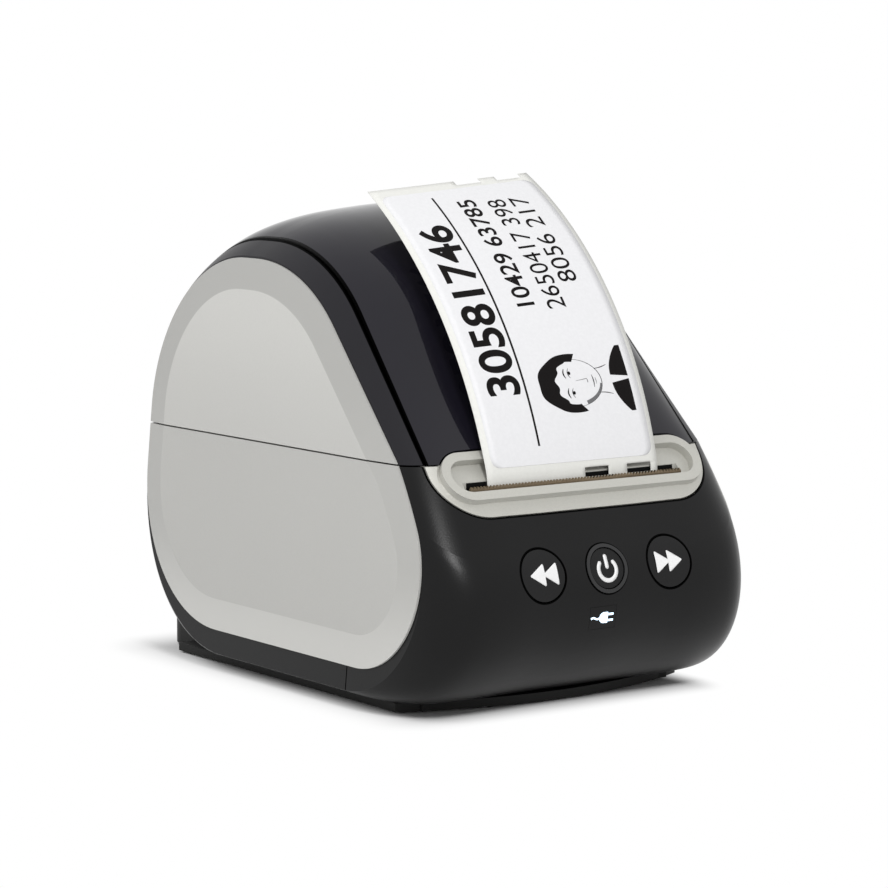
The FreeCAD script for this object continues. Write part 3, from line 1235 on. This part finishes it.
def build_mechanism():
    """Frame, platen, print head, release lever, motor and gears."""
    outline = [("frame_foot_y", "plug_top"), ("frame_rear_y", "plug_top"), ("frame_rear_y", "frame_mid"),
               ("frame_rear_top_y", "frame_top"), ("frame_front_top_y", "frame_top"),
               ("frame_front_y", "frame_brow_z"), ("frame_front_y", "frame_low_z"),
               ("frame_toe_y", "frame_toe_z")]
    both = (f"-({OUTER})", OUTER)
    right, left = ("0", OUTER), (f"-({OUTER})", "0")
    blank = join(
        "frame_blank",
        padded("frame_right", outline, ("frame_half", OUTER)),
        padded("frame_left", outline, (f"-({OUTER})", "-frame_half")),
        box("frame_floor", both, ("frame_foot_y", "frame_rear_y"), ("plug_top", "plug_top + frame_thick")))
    frame = carve(
        "frame_cut", blank,
        rod("bush_hole", "x", "bush_r + trim_fit", both, y="platen_y", z="platen_z"),
        rod("head_hole", "x", "pin_r + trim_fit", both, y=HEAD_AXIS, z="head_pivot_z"),
        rod("motor_hole", "x", "motor_boss_r + trim_fit", right, y="motor_y", z="motor_z"),
        rod("idler_hole", "x", "pin_r + trim_fit", right, y=IDLER_Y, z=IDLER_Z),
        rod("lever_hole", "x", "pin_r + trim_fit", left, y="lever_y", z="lever_z"))
    node("mech_frame", frame)
    bushes = []
    for count, side in enumerate(SIDES):
        bushes.append(turned(f"bush_{count}", [
            (f"{side}(frame_half - bush_flange)", "shaft_r + shaft_fit"),
            (f"{side}(frame_half - bush_flange)", "bush_r + bush_rim"),
            (f"{side}frame_half", "bush_r + bush_rim"), (f"{side}frame_half", "bush_r"),
            (f"{side}({OUTER})", "bush_r"), (f"{side}({OUTER})", "shaft_r + shaft_fit"),
        ], y="platen_y", z="platen_z"))
    node("platen_bushes", group("bush_pair", *bushes))
    gear_end = "gear_inner_x + gear_wide"
    turns = gear_turns()
    platen_at = {"y": "platen_y", "z": "platen_z"}
    shaft_span = (f"-({OUTER}) - bush_flange", f"{gear_end} + bush_flange")
    node("platen_shaft", rod("platen_bar", "x", "shaft_r", shaft_span, **platen_at))
    roller = ("-platen_half", "platen_half")
    node("platen_roller", carve("platen_tube", rod("platen_blank", "x", "platen_r", roller, **platen_at),
                                rod("platen_bore", "x", "shaft_r + trim_fit", roller, **platen_at)))
    gears = (("platen_gear", d.platen_teeth, platen, turns[0], d.shaft_r + d.trim_fit),
             ("idler_gear", d.idler_teeth, idler, turns[1], d.pin_r + d.pin_fit),
             ("motor_pinion", d.pinion_teeth, motor, turns[2], d.motor_shaft_r + d.trim_fit))
    for label, teeth, centre, turn, bore in gears:
        node(label, feature(label + "_form", make_gear(teeth, centre, turn, bore)))
    can_end = "frame_half - motor_long"
    motor_at = {"y": "motor_y", "z": "motor_z"}
    shaft_in = "frame_half - motor_shaft_sink"
    can = join("motor_blank", rod("motor_can", "x", "motor_r", (can_end, "frame_half"), **motor_at),
               rod("motor_boss", "x", "motor_boss_r", ("frame_half - frame_thick", OUTER), **motor_at))
    hole = rod("motor_bore", "x", "motor_shaft_r + pin_fit", (f"{shaft_in} - pin_fit", OUTER), **motor_at)
    node("drive_motor", carve("motor_cut", can, hole))
    node("motor_shaft", rod("motor_bar", "x", "motor_shaft_r", (shaft_in, gear_end), **motor_at))
    node("idler_pin", rod("idler_bar", "x", "pin_r", ("frame_half", f"{gear_end} + pin_r"),
                          y=IDLER_Y, z=IDLER_Z))
    node("head_pivot_pin", rod("head_bar", "x", "pin_r", both, y=HEAD_AXIS, z="head_pivot_z"))
    node("lever_pin", rod("lever_bar", "x", "pin_r", ("lever_x - lever_thick - pin_r", "-frame_half"),
                          y="lever_y", z="lever_z"))
    across = ("-head_half", "head_half")
    plate = join("head_blank",
                 box("head_plate", across, (f"{HEAD_PLATE} - head_thick", HEAD_PLATE),
                     ("head_pivot_z", "head_top")),
                 rod("head_hub", "x", "head_hub_r", across, y=HEAD_AXIS, z="head_pivot_z"))
    node("print_head", carve("head_cut", plate,
                             rod("head_bore", "x", "pin_r + pin_fit", across, y=HEAD_AXIS, z="head_pivot_z")))
    node("head_strip", box("head_heater", across, (HEAD_PLATE, HEAD_FACE),
                           ("head_top - head_strip_tall", "head_top")))
    lever_x = ("lever_x - lever_thick", "lever_x")
    lever = join("lever_blank", rod("lever_hub", "x", "lever_hub_r", lever_x, y="lever_y", z="lever_z"),
                 box("lever_bar_arm", lever_x, ("lever_y - lever_arm / 2", "lever_y + lever_arm / 2"),
                     ("lever_z", "lever_top")))
    node("release_lever", carve("lever_cut", lever,
                                rod("lever_bore", "x", "pin_r + pin_fit", lever_x, y="lever_y", z="lever_z")))


def build_electronics():
    """Main board on its studs, with chips, screws and the two rear sockets."""
    back = "main_board_y + board_thick"
    mouth = "rear_y - plug_gap"
    floor = f"{mouth} - socket_deep"
    board = join(
        "board_blank",
        box("board_sheet", ("-main_board_half", "main_board_half"), ("main_board_y", back),
            ("main_board_low", "main_board_high")),
        box("board_chip", ("chip_x - chip_half", "chip_x + chip_half"),
            ("main_board_y - chip_thick", "main_board_y"), ("chip_z - chip_half", "chip_z + chip_half")),
        rod("board_can", "y", "can_r", ("main_board_y - can_high", "main_board_y"), x="can_x", z="chip_z"))
    holes = lengthwise_rods("board_hole", "board_screw_r + trim_fit", ("main_board_y", back), STUDS)
    node("main_board", carve("board_cut", board, *holes))
    head_front = "main_board_y - board_screw_head"
    heads = lengthwise_rods("board_screw_head", "board_screw_head_r", (head_front, "main_board_y"), STUDS)
    shanks = lengthwise_rods("board_screw_shank", "board_screw_r",
                             (head_front, f"{back} + board_screw_long"), STUDS)
    node("board_screws", group("board_screw_set", *[join(f"board_screw_{count}", *pair)
                                                    for count, pair in enumerate(zip(heads, shanks))]))
    jack = {"x": "power_socket_x", "z": "socket_z"}
    barrel = carve("jack_cut", rod("jack_barrel", "y", "power_socket_r", (back, mouth), **jack),
                   rod("jack_bore", "y", "power_bore_r", (floor, mouth), **jack))
    contact = (f"{floor} - contact_sink", f"{mouth} - contact_sink")
    node("power_socket", join("jack", barrel, rod("jack_pin", "y", "power_pin_r", contact, **jack)))
    half, tall = "data_wide / 2", "data_tall / 2"

    def around(x_half, z_half, span, name):
        return box(name, (f"data_socket_x - ({x_half})", f"data_socket_x + {x_half}"), span,
                   (f"socket_z - ({z_half})", f"socket_z + {z_half}"))
    port = carve("port_cut", around(half, tall, (back, mouth), "port_shell"),
                 around(f"{half} - data_wall", f"{tall} - data_wall", (floor, mouth), "port_mouth"))
    node("data_socket", join("port", port, around("tongue_half", "tongue_half", contact, "port_tongue")))


build_base()
build_shell()
build_roll()
build_mechanism()
build_electronics()
doc.recompute()

for item in doc.Objects:
    if {"Invalid", "Error"} & set(item.State):
        raise RuntimeError(f"{item.Name} is not up to date: {item.State}")
os.makedirs("parts", exist_ok=True)
for label, item in nodes.items():
    if item.Shape.isNull() or not item.Shape.isValid() or not item.Shape.Solids:
        raise RuntimeError(f"{label} has no sound solid")
    item.Shape.exportStep(os.path.join("parts", label + ".step"))
